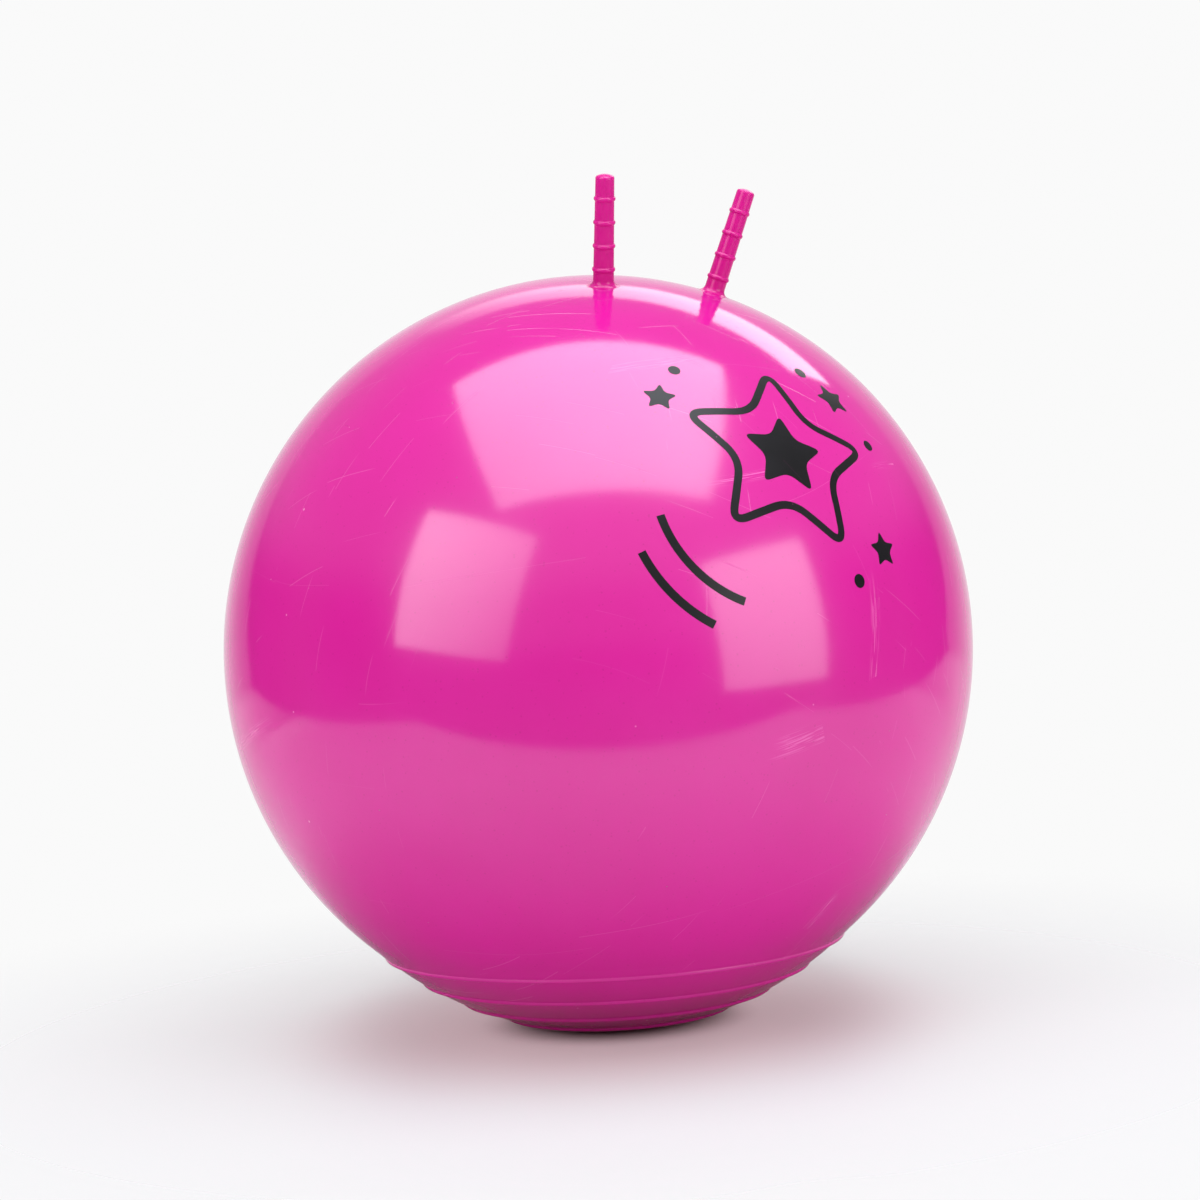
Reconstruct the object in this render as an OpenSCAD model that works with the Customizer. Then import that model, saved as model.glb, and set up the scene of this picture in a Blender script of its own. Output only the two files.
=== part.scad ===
// Hopper ball: a blown-up ball with a ribbed sole, two ringed horns to hold on to, and a valve with its plug.
// The ball stands on the origin, +Z is up and the rider looks along -Y, so the left horn is on the +X side.

/* [Ball] */
// Diameter of the ball at its waist
ball_d = 600; // [450:5:700]
// Wall of the ball's skin
skin_wall = 1.2; // [0.8:0.1:2.5]

/* [Sole] */
// Diameter of the circle where the sole leaves the ball's round form
sole_edge_d = 386; // [330:2:420]
// How far the sole would stand proud of the ball at its lowest point
sole_proud = 6.5; // [3:0.5:12]
// How much of the sole the ball's own weight presses flat
sole_flat = 6.5; // [2:0.5:10]
// Wall of the sole
sole_wall = 1.8; // [1:0.1:3]
// Number of grip ribs round the sole
rib_count = 4; // [1:1:4]
// Width of a grip rib
rib_w = 5.5; // [5:0.5:12]
// Height of a grip rib over the sole
rib_proud = 1.2; // [0.8:0.1:2.5]
// Distance over the sole from its edge to the middle of the first rib
rib_margin = 12; // [8:0.5:20]
// Distance over the sole from rib to rib
rib_pitch = 36; // [20:1:38]

/* [Horns] */
// Angle from the top of the ball forward to the pair of horns
horn_forward_deg = 23.3; // [10:0.1:35]
// Angle from the middle of the ball out to each horn
horn_side_deg = 9.75; // [6:0.25:20]
// Length of a horn over the skin
horn_l = 83; // [70:0.5:110]
// Diameter of a horn where it leaves its foot
horn_root_d = 15.8; // [14:0.2:20]
// Diameter of a horn at its tip
horn_tip_d = 14.1; // [12:0.1:15]
// Diameter of the air space inside a horn
horn_bore_d = 9; // [4:0.5:9]
// Radius of the rounded edge at the tip
tip_edge_r = 2.4; // [1:0.1:4]
// Height of the low dome that closes the tip
tip_dome_h = 0.8; // [0.4:0.1:2]
// Thickness of the closed end over the air space
tip_wall = 4; // [3:0.5:8]

/* [Horn rings] */
// Number of rings on a horn
ring_count = 4; // [3:1:5]
// Distance from the tip to the middle of the first ring
ring_tip_gap = 18; // [12:0.5:20]
// Height over the skin of the middle of the lowest ring
ring_low_h = 12.4; // [10:0.2:13]
// Width of a ring
ring_w = 3.4; // [2:0.2:5]
// Height of a ring over the horn
ring_proud = 0.95; // [0.5:0.05:1.5]

/* [Horn feet] */
// Height of the moulded foot that carries a horn
foot_h = 5.5; // [5:0.25:7]
// Radius of the hollow curve between the foot and the ball
foot_fillet_r = 5; // [2:0.1:5]

/* [Valve] */
// Angle from the top of the ball backward to the valve
valve_deg = 90; // [60:1:110]
// Diameter of the seat's neck in the skin
neck_d = 25; // [24:0.5:34]
// Diameter of the flange behind the skin
flange_d = 40; // [36:0.5:60]
// Thickness of the flange
flange_t = 1.6; // [1:0.1:3]
// Diameter of the tube that grips the plug
tube_d = 15; // [13:0.5:18]
// Length of the seat from the floor of its recess to its inner end
tube_l = 22; // [16:0.5:30]
// Diameter of the plug's hole
valve_bore_d = 9; // [7:0.1:10]
// Depth of the recess that takes the plug's head
recess_depth = 2.4; // [1.6:0.1:4]

/* [Plug] */
// Diameter of the plug's head
head_d = 18; // [16:0.5:20]
// Thickness of the plug's head
head_t = 2; // [1.2:0.1:2.4]
// Width of the bevel round the head
head_bevel = 0.6; // [0.2:0.1:0.8]
// Length of the shank under the head
shank_l = 19; // [14:0.5:24]
// Diameter of the shank between its barbs
shank_d = 7.6; // [5:0.1:8]
// Diameter of the shank's nose
nose_d = 5.6; // [3:0.1:6]
// Length of the tapered nose
nose_l = 4; // [2:0.5:6]
// Number of barbs on the shank
barb_count = 3; // [1:1:3]
// Distance from barb to barb
barb_pitch = 4.5; // [3:0.5:4.5]
// Length of a barb's slope
barb_l = 2.4; // [1:0.2:2.8]

/* [Fits] */
// Gap left for the bond between the seat and the skin
bond_gap = 0.05; // [0.02:0.01:0.1]
// Gap between the plug's barbs and their hole
plug_gap = 0.05; // [0.02:0.01:0.1]
// Gap between the plug's head and the wall of its recess
head_gap = 0.4; // [0.3:0.1:1]

/* [Hidden] */

$fn = 180;
skin_color = "#df2f9c";
seat_color = "#c9288b";
plug_color = "#f2f0ec";

// How far a cut runs past what it cuts
overrun = 1;
// How far a foot's hollow curve runs into the skin, so that the two meet at a clear angle
fillet_sink = 0.1;
left = 1;
right = -1;

ball_r = ball_d / 2;
centre_z = ball_r + sole_proud - sole_flat;

sole_edge_r = sole_edge_d / 2;
sole_cap_h = ball_r + sole_proud - sqrt(ball_r * ball_r - sole_edge_r * sole_edge_r);
sole_r = (sole_edge_r * sole_edge_r + sole_cap_h * sole_cap_h) / (2 * sole_cap_h);
sole_z = sole_r - sole_flat;
sole_edge_deg = asin(sole_edge_r / sole_r);

rib_r = bead_radius(rib_w, rib_proud);
ring_r = bead_radius(ring_w, ring_proud);

horn_root_r = horn_root_d / 2;
horn_tip_r = horn_tip_d / 2;
horn_bore_r = horn_bore_d / 2;
shoulder_h = horn_l - tip_dome_h - tip_edge_r;
tip_flat_r = horn_tip_r - tip_edge_r;
tip_dome_r = (tip_flat_r * tip_flat_r + tip_dome_h * tip_dome_h) / (2 * tip_dome_h);
bore_end_h = horn_l - tip_wall - horn_bore_r;
ring_pitch = (horn_l - ring_tip_gap - ring_low_h) / (ring_count - 1);
// Each horn parts from its root halfway between its two lowest rings
horn_split_h = ring_low_h + ring_pitch / 2;

foot_curve_x = horn_root_r + foot_fillet_r;
foot_curve_reach = ball_r + foot_fillet_r - fillet_sink;
foot_curve_z = sqrt(foot_curve_reach * foot_curve_reach - foot_curve_x * foot_curve_x);

seat_back_r = ball_r - skin_wall - bond_gap;
neck_r = neck_d / 2;
valve_bore_r = valve_bore_d / 2;
recess_r = head_d / 2 + head_gap;
recess_floor_z = sqrt(ball_r * ball_r - recess_r * recess_r) - recess_depth;
barb_r = valve_bore_r - plug_gap;

// Radius of a bead that shows a given width and height over the face that it is half sunk in
function bead_radius(w, proud) = (w * w / 4 + proud * proud) / (2 * proud);

// Height over the skin of a horn's ring, counted from the tip
function ring_height(i) = horn_l - ring_tip_gap - i * ring_pitch;

// Radius of a horn at a height over the skin
function horn_radius(h) =
    horn_root_r + (horn_tip_r - horn_root_r) * (h - foot_h) / (shoulder_h - foot_h);

// Angle at the sole's own centre from its lowest point to a rib
function rib_deg(i) = sole_edge_deg - (rib_margin + i * rib_pitch) / sole_r * 180 / PI;

// Everything above the level that the ball is pressed flat to
module above_floor(level) {
    translate([0, level]) square([ball_d, 2 * ball_d]);
}

module rib_beads() {
    for (i = [0 : rib_count - 1]) {
        reach = sole_r + rib_proud - rib_r;
        translate([reach * sin(rib_deg(i)), sole_z - reach * cos(rib_deg(i))]) circle(r = rib_r);
    }
}

module ball_outline(ball_inset, sole_inset) {
    translate([0, centre_z]) circle(r = ball_r - ball_inset);
    translate([0, sole_z]) circle(r = sole_r - sole_inset);
}

module skin_profile() {
    difference() {
        intersection() {
            union() {
                ball_outline(0, 0);
                rib_beads();
            }
            above_floor(0);
        }
        intersection() {
            ball_outline(skin_wall, sole_wall);
            above_floor(sole_wall);
        }
    }
}

// Stands a shape made round +Z, with its zero at the ball's centre, in the direction of one horn
module toward_horn(side) {
    translate([0, 0, centre_z])
        rotate([horn_forward_deg, 0, 0])
        rotate([0, side * horn_side_deg, 0])
        children();
}

// The same for the valve at the back
module toward_valve() {
    translate([0, 0, centre_z]) rotate([-valve_deg, 0, 0]) children();
}

// Low stub with a hollow curve down to the ball, flat on top where the horn stands
module horn_foot() {
    rotate_extrude()
        difference() {
            translate([0, ball_r - skin_wall / 2]) square([foot_curve_x, foot_h + skin_wall / 2]);
            translate([foot_curve_x, foot_curve_z]) circle(r = foot_fillet_r);
            translate([horn_root_r, foot_curve_z]) square([foot_curve_x, foot_h]);
        }
}

module horn_air_way() {
    translate([0, 0, ball_r - skin_wall - overrun])
        cylinder(h = skin_wall + foot_h + 2 * overrun, r = horn_bore_r);
}

// The skin is one moulding: ball, sole, ribs and the feet of both horns
module ball_skin() {
    color(skin_color)
        difference() {
            union() {
                rotate_extrude() skin_profile();
                toward_horn(left) horn_foot();
                toward_horn(right) horn_foot();
            }
            toward_horn(left) horn_air_way();
            toward_horn(right) horn_air_way();
            toward_valve()
                translate([0, 0, ball_r / 2]) cylinder(h = ball_r, r = neck_r + bond_gap);
        }
}

// Outline of a whole horn over the skin, from its foot to its tip
module horn_outline() {
    polygon([[0, foot_h], [horn_root_r, foot_h], [horn_tip_r, shoulder_h], [0, shoulder_h]]);
    translate([0, shoulder_h]) square([tip_flat_r, tip_edge_r]);
    translate([tip_flat_r, shoulder_h]) circle(r = tip_edge_r);
    intersection() {
        translate([0, horn_l - tip_dome_r]) circle(r = tip_dome_r);
        translate([0, shoulder_h]) square([tip_flat_r, horn_l]);
    }
    for (i = [0 : ring_count - 1])
        translate([horn_radius(ring_height(i)) + ring_proud - ring_r, ring_height(i)])
            circle(r = ring_r);
}

module horn_air_outline() {
    square([horn_bore_r, bore_end_h]);
    translate([0, bore_end_h]) circle(r = horn_bore_r);
}

// A stretch of a hollow horn between two heights over the skin
module horn_stretch(side, low_h, high_h) {
    color(skin_color)
        toward_horn(side)
        translate([0, 0, ball_r])
        rotate_extrude()
        difference() {
            intersection() {
                horn_outline();
                translate([0, low_h]) square([horn_root_d, high_h - low_h]);
            }
            horn_air_outline();
        }
}

module left_horn_root() {
    horn_stretch(left, foot_h, horn_split_h);
}

module left_horn() {
    horn_stretch(left, horn_split_h, horn_l);
}

module right_horn_root() {
    horn_stretch(right, foot_h, horn_split_h);
}

module right_horn() {
    horn_stretch(right, horn_split_h, horn_l);
}

// Seat bonded behind the skin: flange, neck flush with the ball, and a tube that grips the plug
module valve_seat() {
    color(seat_color)
        toward_valve()
        rotate_extrude()
        difference() {
            union() {
                intersection() {
                    circle(r = seat_back_r);
                    translate([0, seat_back_r - flange_t - skin_wall]) square([flange_d / 2, ball_r]);
                }
                intersection() {
                    circle(r = ball_r);
                    translate([0, seat_back_r - flange_t - skin_wall]) square([neck_r, ball_r]);
                }
                translate([0, recess_floor_z - tube_l]) square([tube_d / 2, tube_l]);
            }
            translate([0, recess_floor_z - tube_l - overrun])
                square([valve_bore_r, tube_l + 2 * overrun]);
            translate([0, recess_floor_z]) square([recess_r, recess_depth + overrun]);
        }
}

// Push-in plug with a flat head and a barbed shank, as one outline from the nose up to the head
module plug_outline() {
    shank_r = shank_d / 2;
    head_r = head_d / 2;
    nose_z = recess_floor_z - shank_l;
    head_z = recess_floor_z + head_t;
    barbs_z = nose_z + nose_l;
    polygon(concat(
        [[0, nose_z], [nose_d / 2, nose_z], [shank_r, barbs_z]],
        [for (i = [0 : barb_count - 1], at = [[shank_r, 0], [barb_r, barb_l], [shank_r, barb_l]])
            if (i > 0 || at[1] > 0) [at[0], barbs_z + i * barb_pitch + at[1]]],
        [[shank_r, recess_floor_z], [head_r, recess_floor_z], [head_r, head_z - head_bevel]],
        [[head_r - head_bevel, head_z], [0, head_z]]
    ));
}

module valve_plug() {
    color(plug_color) toward_valve() rotate_extrude() plug_outline();
}

ball_skin();
left_horn_root();
left_horn();
right_horn_root();
right_horn();
valve_seat();
valve_plug();
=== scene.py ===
import math

import bmesh
import bpy
from mathutils import Matrix, Vector


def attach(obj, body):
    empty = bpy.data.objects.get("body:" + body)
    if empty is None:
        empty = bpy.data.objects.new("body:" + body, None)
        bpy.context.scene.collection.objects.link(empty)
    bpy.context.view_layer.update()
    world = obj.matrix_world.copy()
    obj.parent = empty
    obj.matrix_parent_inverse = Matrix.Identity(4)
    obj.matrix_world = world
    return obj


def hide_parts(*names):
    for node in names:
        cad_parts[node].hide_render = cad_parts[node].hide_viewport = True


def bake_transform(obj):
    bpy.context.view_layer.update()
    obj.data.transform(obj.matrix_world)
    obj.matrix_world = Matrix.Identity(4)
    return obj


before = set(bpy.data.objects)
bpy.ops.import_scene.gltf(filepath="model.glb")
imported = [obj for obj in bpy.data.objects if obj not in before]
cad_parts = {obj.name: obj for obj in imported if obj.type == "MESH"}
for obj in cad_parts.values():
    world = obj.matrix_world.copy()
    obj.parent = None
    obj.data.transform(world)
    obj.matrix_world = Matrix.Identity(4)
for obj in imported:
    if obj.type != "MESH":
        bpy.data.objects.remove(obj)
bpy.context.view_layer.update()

MM = 0.001
WELD_DISTANCE = 1e-7
CREASE_DEGREES = 40
VALVE_CREASE_DEGREES = 35
VALVE_STEPS = 96

# Ball and sole, as in the part's source but for slightly crisper ribs
BALL_R = 300 * MM
SOLE_EDGE_R = 193 * MM
SOLE_PROUD = 6.5 * MM
SOLE_FLAT = 6.5 * MM
RIB_COUNT = 4
RIB_W = 4.6 * MM
RIB_PROUD = 1.5 * MM
RIB_MARGIN = 12 * MM
RIB_PITCH = 36 * MM
RIB_FILLET = 0.3 * MM
FLOOR_FILLET = 1.2 * MM

# Horns
HORN_FORWARD = math.radians(23.3)
HORN_SIDE = math.radians(9.75)
HORN_L = 83 * MM
HORN_ROOT_R = 7.9 * MM
HORN_TIP_R = 7.05 * MM
TIP_EDGE_R = 2.4 * MM
TIP_DOME_H = 0.8 * MM
RING_COUNT = 4
RING_TIP_GAP = 18 * MM
RING_LOW_H = 12.4 * MM
RING_W = 3.4 * MM
RING_PROUD = 0.95 * MM
FOOT_H = 5.5 * MM
FOOT_FILLET_R = 5 * MM
FOOT_SINK = 0.005 * MM
RING_FILLET = 0.5 * MM
RING_CLEARANCE = 0.2 * MM

# Valve and plug
NECK_R = 12.5 * MM
BOND_GAP = 0.05 * MM
RECESS_R = 9.4 * MM
RECESS_DEPTH = 2.4 * MM
SKIN_WALL = 1.2 * MM
FLANGE_DROP = 2.85 * MM
TUBE_R = 7.5 * MM
TUBE_L = 22 * MM
VALVE_BORE_R = 4.5 * MM
VALVE_HOLE_DEPTH = 24 * MM
HEAD_R = 9 * MM
HEAD_T = 2 * MM
SHANK_L = 19 * MM
SHANK_R = 3.8 * MM
NOSE_R = 2.8 * MM
NOSE_L = 4 * MM
BARB_R = 4.45 * MM
BARB_L = 2.4 * MM
BARB_PITCH = 4.5 * MM
BARB_COUNT = 3
DIMPLE_R = 2.2 * MM
DIMPLE_RIM_R = 3.52 * MM
DIMPLE_D = 0.35 * MM

# What follows from these sizes
BALL_Z = BALL_R + SOLE_PROUD - SOLE_FLAT
SOLE_CAP_H = BALL_R + SOLE_PROUD - math.sqrt(BALL_R ** 2 - SOLE_EDGE_R ** 2)
SOLE_R = (SOLE_EDGE_R ** 2 + SOLE_CAP_H ** 2) / (2 * SOLE_CAP_H)
SOLE_Z = SOLE_R - SOLE_FLAT
SOLE_EDGE_ANGLE = math.asin(SOLE_EDGE_R / SOLE_R)
RING_PITCH = (HORN_L - RING_TIP_GAP - RING_LOW_H) / (RING_COUNT - 1)
SHOULDER_H = HORN_L - TIP_DOME_H - TIP_EDGE_R
TIP_FLAT_R = HORN_TIP_R - TIP_EDGE_R
TIP_DOME_R = (TIP_FLAT_R ** 2 + TIP_DOME_H ** 2) / (2 * TIP_DOME_H)
RECESS_FLOOR = math.sqrt(BALL_R ** 2 - RECESS_R ** 2) - RECESS_DEPTH
FLANGE_BACK = BALL_R - FLANGE_DROP - SKIN_WALL
HEAD_TOP = RECESS_FLOOR + HEAD_T
NOSE_END = RECESS_FLOOR - SHANK_L


def bead_radius(width, proud):
    """Radius of a bead that shows this width and height over the face it is half sunk in."""
    return (width ** 2 / 4 + proud ** 2) / (2 * proud)


# Node trees

class Number:
    """A number inside a node tree. Arithmetic on it adds Math nodes, so that a rule reads as a formula."""

    def __init__(self, tree, socket):
        self.tree = tree
        self.socket = socket

    def do(self, operation, *others):
        return self.tree.math(operation, self, *others)

    def __add__(self, other):
        return self.do("ADD", other)

    __radd__ = __add__

    def __sub__(self, other):
        return self.do("SUBTRACT", other)

    def __rsub__(self, other):
        return self.tree.math("SUBTRACT", other, self)

    def __mul__(self, other):
        return self.do("MULTIPLY", other)

    __rmul__ = __mul__

    def __truediv__(self, other):
        return self.do("DIVIDE", other)

    def clear_of(self, least):
        """The number, but never under the least."""
        return self.do("MAXIMUM", least)

    def root(self):
        """Square root, with anything below nothing taken as nothing."""
        return self.clear_of(0.0).do("SQRT")

    def share(self, low, high):
        """0 up to low, 1 from high on, and straight in between."""
        return self.tree.ramp(self, low, high, "LINEAR")

    def ease(self, low, high):
        """0 up to low, 1 from high on, and eased in between."""
        return self.tree.ramp(self, low, high, "SMOOTHSTEP")


class Tree:
    """A node tree under construction."""

    def __init__(self, data):
        self.data = data

    def feed(self, socket, value):
        """Links a node's output to the socket, or sets a plain value on it."""
        if isinstance(value, Number):
            value = value.socket
        if isinstance(value, bpy.types.NodeSocket):
            self.data.links.new(value, socket)
        else:
            socket.default_value = value

    def add(self, kind, inputs=None, **settings):
        node = self.data.nodes.new(kind)
        for name, value in settings.items():
            setattr(node, name, value)
        for name, value in (inputs or {}).items():
            self.feed(node.inputs[name], value)
        return node

    def number(self, socket):
        return Number(self, socket)

    def math(self, operation, *values):
        node = self.add("ShaderNodeMath", dict(enumerate(values)), operation=operation)
        return self.number(node.outputs[0])

    def ramp(self, value, low, high, curve):
        ends = {"Value": value, "From Min": low, "From Max": high}
        node = self.add("ShaderNodeMapRange", ends, interpolation_type=curve)
        return self.number(node.outputs["Result"])

    def parts(self, vector):
        """The three numbers of a vector."""
        node = self.add("ShaderNodeSeparateXYZ", {"Vector": vector})
        return [self.number(output) for output in node.outputs]

    def vector(self, x, y, z):
        return self.add("ShaderNodeCombineXYZ", {"X": x, "Y": y, "Z": z}).outputs[0]


class ShapeTree(Tree):
    """A geometry node tree with named inputs."""

    def __init__(self, name, takes_curves=False, **inputs):
        super().__init__(bpy.data.node_groups.new(name, "GeometryNodeTree"))
        if takes_curves:
            self.data.interface.new_socket("Geometry", in_out="INPUT", socket_type="NodeSocketGeometry")
        for label, kind in inputs.items():
            words = label.replace("_", " ").capitalize()
            self.data.interface.new_socket(words, in_out="INPUT", socket_type="NodeSocket" + kind)
        self.data.interface.new_socket("Geometry", in_out="OUTPUT", socket_type="NodeSocketGeometry")
        self.entry = self.add("NodeGroupInput")

    def given(self, label):
        """A named input, as a number."""
        return self.number(self.entry.outputs[label.replace("_", " ").capitalize()])

    def sharp(self, geometry, degrees):
        """Shades the mesh smooth, apart from edges that turn by more than this."""
        smooth = self.add("GeometryNodeSetShadeSmooth", {"Geometry": geometry}, domain="FACE")
        angle = self.add("GeometryNodeInputMeshEdgeAngle").outputs["Unsigned Angle"]
        limit = {0: angle, 1: math.radians(degrees)}
        turn = self.add("FunctionNodeCompare", limit, operation="GREATER_THAN")
        edges = {"Geometry": smooth.outputs[0], "Selection": turn.outputs[0], "Shade Smooth": False}
        return self.add("GeometryNodeSetShadeSmooth", edges, domain="EDGE").outputs[0]

    def close(self, geometry):
        """Ends the tree: real geometry, with its material."""
        real = self.add("GeometryNodeRealizeInstances", {"Geometry": geometry}).outputs[0]
        dress = {"Geometry": real, "Material": self.given("Material")}
        dressed = self.add("GeometryNodeSetMaterial", dress).outputs[0]
        self.add("NodeGroupOutput", {"Geometry": dressed})
        return self.data


def grow(name, tree, base=None, **values):
    """Runs a shape tree with these values and returns the finished mesh as an object at the origin."""
    data = base or bpy.data.meshes.new(name + "_seed")
    seed = bpy.data.objects.new(name + "_seed", data)
    bpy.context.collection.objects.link(seed)
    modifier = seed.modifiers.new("Shape", "NODES")
    modifier.node_group = tree
    for item in tree.interface.items_tree:
        if item.in_out == "INPUT" and item.name != "Geometry":
            modifier[item.identifier] = values[item.name.lower().replace(" ", "_")]
    graph = bpy.context.evaluated_depsgraph_get()
    mesh = bpy.data.meshes.new_from_object(seed.evaluated_get(graph))
    seed.modifiers.remove(modifier)
    bpy.data.objects.remove(seed)
    mesh.name = name
    piece = bpy.data.objects.new(name, mesh)
    bpy.context.collection.objects.link(piece)
    return piece


# Finishes

def shader_group(name, inputs, outputs):
    """A shader node group with named inputs (name: default) and outputs."""
    tree = Tree(bpy.data.node_groups.new(name, "ShaderNodeTree"))
    for label, default in inputs.items():
        kind = "NodeSocketFloat" if isinstance(default, float) else "NodeSocketVector"
        socket = tree.data.interface.new_socket(label, in_out="INPUT", socket_type=kind)
        if isinstance(default, float):
            socket.default_value = default
    for label in outputs:
        tree.data.interface.new_socket(label, in_out="OUTPUT", socket_type="NodeSocketFloat")
    return tree


def scratch_group():
    """Straight scratches: some cells of a scatter hold a thin upright sheet, which cuts the face in a line.
    A wide one may be combed into a rub of fine side-by-side hairlines."""
    inputs = {
        "Vector": None, "Normal": None, "Turn": None, "Density": 20.0, "Length": 0.03, "Width": 0.0003,
        "Share": 0.3, "Comb": 0.0,
    }
    tree = shader_group("Scratches", inputs, ["Mask"])
    given = tree.add("NodeGroupInput").outputs
    bend = tree.add("ShaderNodeTexNoise", {"Vector": given["Vector"], "Scale": 5.0, "Detail": 1.0})
    amount = {0: bend.outputs["Color"], "Scale": 0.03}
    sway = tree.add("ShaderNodeVectorMath", amount, operation="SCALE").outputs[0]
    bent = tree.add("ShaderNodeVectorMath", {0: given["Vector"], 1: sway}, operation="ADD").outputs[0]
    turned = tree.add("ShaderNodeMapping", {"Vector": bent, "Rotation": given["Turn"]}).outputs[0]
    cells = tree.add("ShaderNodeTexVoronoi", {"Vector": turned, "Scale": given["Density"]})
    from_middle = {0: turned, 1: cells.outputs["Position"]}
    offset = tree.add("ShaderNodeVectorMath", from_middle, operation="SUBTRACT").outputs[0]
    along, across, _ = tree.parts(offset)
    chance, size, weight = tree.parts(cells.outputs["Color"])
    width = tree.number(given["Width"]) * (0.5 + weight)
    reach = tree.number(given["Length"]) * (0.2 + size * 0.5)
    line = 1.0 - across.do("ABSOLUTE").ease(width * 0.2, width)
    stroke = 1.0 - along.do("ABSOLUTE").ease(reach * 0.5, reach)
    chosen = chance.do("LESS_THAN", tree.number(given["Share"]))
    aim = {"Vector": given["Normal"], "Rotation": given["Turn"]}
    _, leaning, _ = tree.parts(tree.add("ShaderNodeMapping", aim).outputs[0])
    upright = 1.0 - leaning.do("ABSOLUTE").ease(0.4, 0.7)
    x, y, z = tree.parts(turned)
    hair_stretch = 40.0
    hair_fineness = 1400.0
    drawn_out = tree.vector(x * hair_stretch, y * hair_fineness, z * hair_stretch)
    streaks = {"Vector": drawn_out, "Scale": 1.0, "Detail": 1.0}
    hairs = tree.number(tree.add("ShaderNodeTexNoise", streaks).outputs["Fac"]).ease(0.50, 0.62)
    combed = 1.0 - tree.number(given["Comb"]) * (1.0 - hairs)
    tree.add("NodeGroupOutput", {"Mask": line * stroke * chosen * upright * combed})
    return tree.data


def speck_group():
    """Small round specks of uneven size, scattered singly."""
    inputs = {"Vector": None, "Fineness": 90.0, "Size": 0.08, "Share": 0.2}
    tree = shader_group("Specks", inputs, ["Mask"])
    given = tree.add("NodeGroupInput").outputs
    cells = tree.add("ShaderNodeTexVoronoi", {"Vector": given["Vector"], "Scale": given["Fineness"]})
    chance, size, _ = tree.parts(cells.outputs["Color"])
    chosen = chance.do("LESS_THAN", tree.number(given["Share"]))
    reach = tree.number(given["Size"]) * (0.4 + size)
    spot = 1.0 - tree.number(cells.outputs["Distance"]).ease(reach * 0.5, reach)
    tree.add("NodeGroupOutput", {"Mask": spot * chosen})
    return tree.data


SCRATCHES = scratch_group()
SPECKS = speck_group()


class Finish(Tree):
    """A material with a Principled shader, read in the object's own coordinates."""

    def __init__(self, name):
        self.material = bpy.data.materials.new(name)
        self.material.use_nodes = True
        super().__init__(self.material.node_tree)
        self.shader = self.data.nodes["Principled BSDF"]
        coordinates = self.add("ShaderNodeTexCoord")
        self.place = coordinates.outputs["Object"]
        self.normal = coordinates.outputs["Normal"]

    def noise(self, scale, detail):
        grain = {"Vector": self.place, "Scale": scale, "Detail": detail}
        return self.number(self.add("ShaderNodeTexNoise", grain).outputs["Fac"])

    def mask(self, group, **values):
        node = self.add("ShaderNodeGroup", node_tree=group)
        self.feed(node.inputs["Vector"], self.place)
        if "Normal" in node.inputs:
            self.feed(node.inputs["Normal"], self.normal)
        for label, value in values.items():
            self.feed(node.inputs[label.capitalize()], value)
        return self.number(node.outputs["Mask"])

    def blend(self, amount, under, over):
        """Mixes two colours. The node repeats its socket names for other values, so numbers pick them."""
        sockets = {0: amount, 6: under, 7: over}
        return self.add("ShaderNodeMix", sockets, data_type="RGBA").outputs[2]

    def bump(self, height, depth, under=None):
        relief = {"Height": height, "Distance": depth, "Strength": 1.0}
        if under is not None:
            relief["Normal"] = under
        return self.add("ShaderNodeBump", relief).outputs[0]

    def wear(self, **sockets):
        """Feeds the shader's sockets, by their names with underscores for spaces."""
        for name, value in sockets.items():
            self.feed(self.shader.inputs[name.replace("_", " ")], value)
        return self.material


def linear(red, green, blue):
    """A colour given in the eight-bit values of a screen, as the shader takes it."""
    def one(level):
        share = level / 255
        return share / 12.92 if share <= 0.04045 else ((share + 0.055) / 1.055) ** 2.4
    return (one(red), one(green), one(blue), 1.0)


# Marks on the vinyl. Lengths and widths are in metres, a speck's size is a part of its cell, and the
# share is how many of the cells hold a mark. The turns are the ways in which strokes and rubs run.
STROKES = {"density": 28.0, "length": 40 * MM, "width": 0.3 * MM, "share": 0.34}
STROKE_TURNS = ((0.3, 0.5, 0.9), (1.2, 0.9, 2.2), (0.1, 1.3, 0.4), (2.0, 0.3, 1.5))
LONG_STROKES = {"density": 8.0, "length": 160 * MM, "width": 0.22 * MM, "share": 0.6}
LONG_STROKE_TURN = (1.4, 0.1, 0.3)
RUBS = {"density": 10.0, "length": 70 * MM, "width": 7 * MM, "share": 0.22, "comb": 1.0}
RUB_TURNS = ((0.8, 0.4, 1.1), (1.9, 0.7, 0.2))
DARK_SPECKS = {"fineness": 70.0, "size": 0.05, "share": 0.12}
PALE_SPECKS = {"fineness": 58.0, "size": 0.05, "share": 0.10}
PITS = {"fineness": 420.0, "size": 0.3, "share": 0.16}
RUBBED_PINK = linear(250, 150, 210)
# Dark plum of dirt specks, also used as painted shade in the pits
DIRT_AND_PIT_SHADE_PLUM = linear(120, 10, 80)
DUST_PINK = linear(252, 190, 228)
MARK_DEPTH = 0.04 * MM


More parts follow.
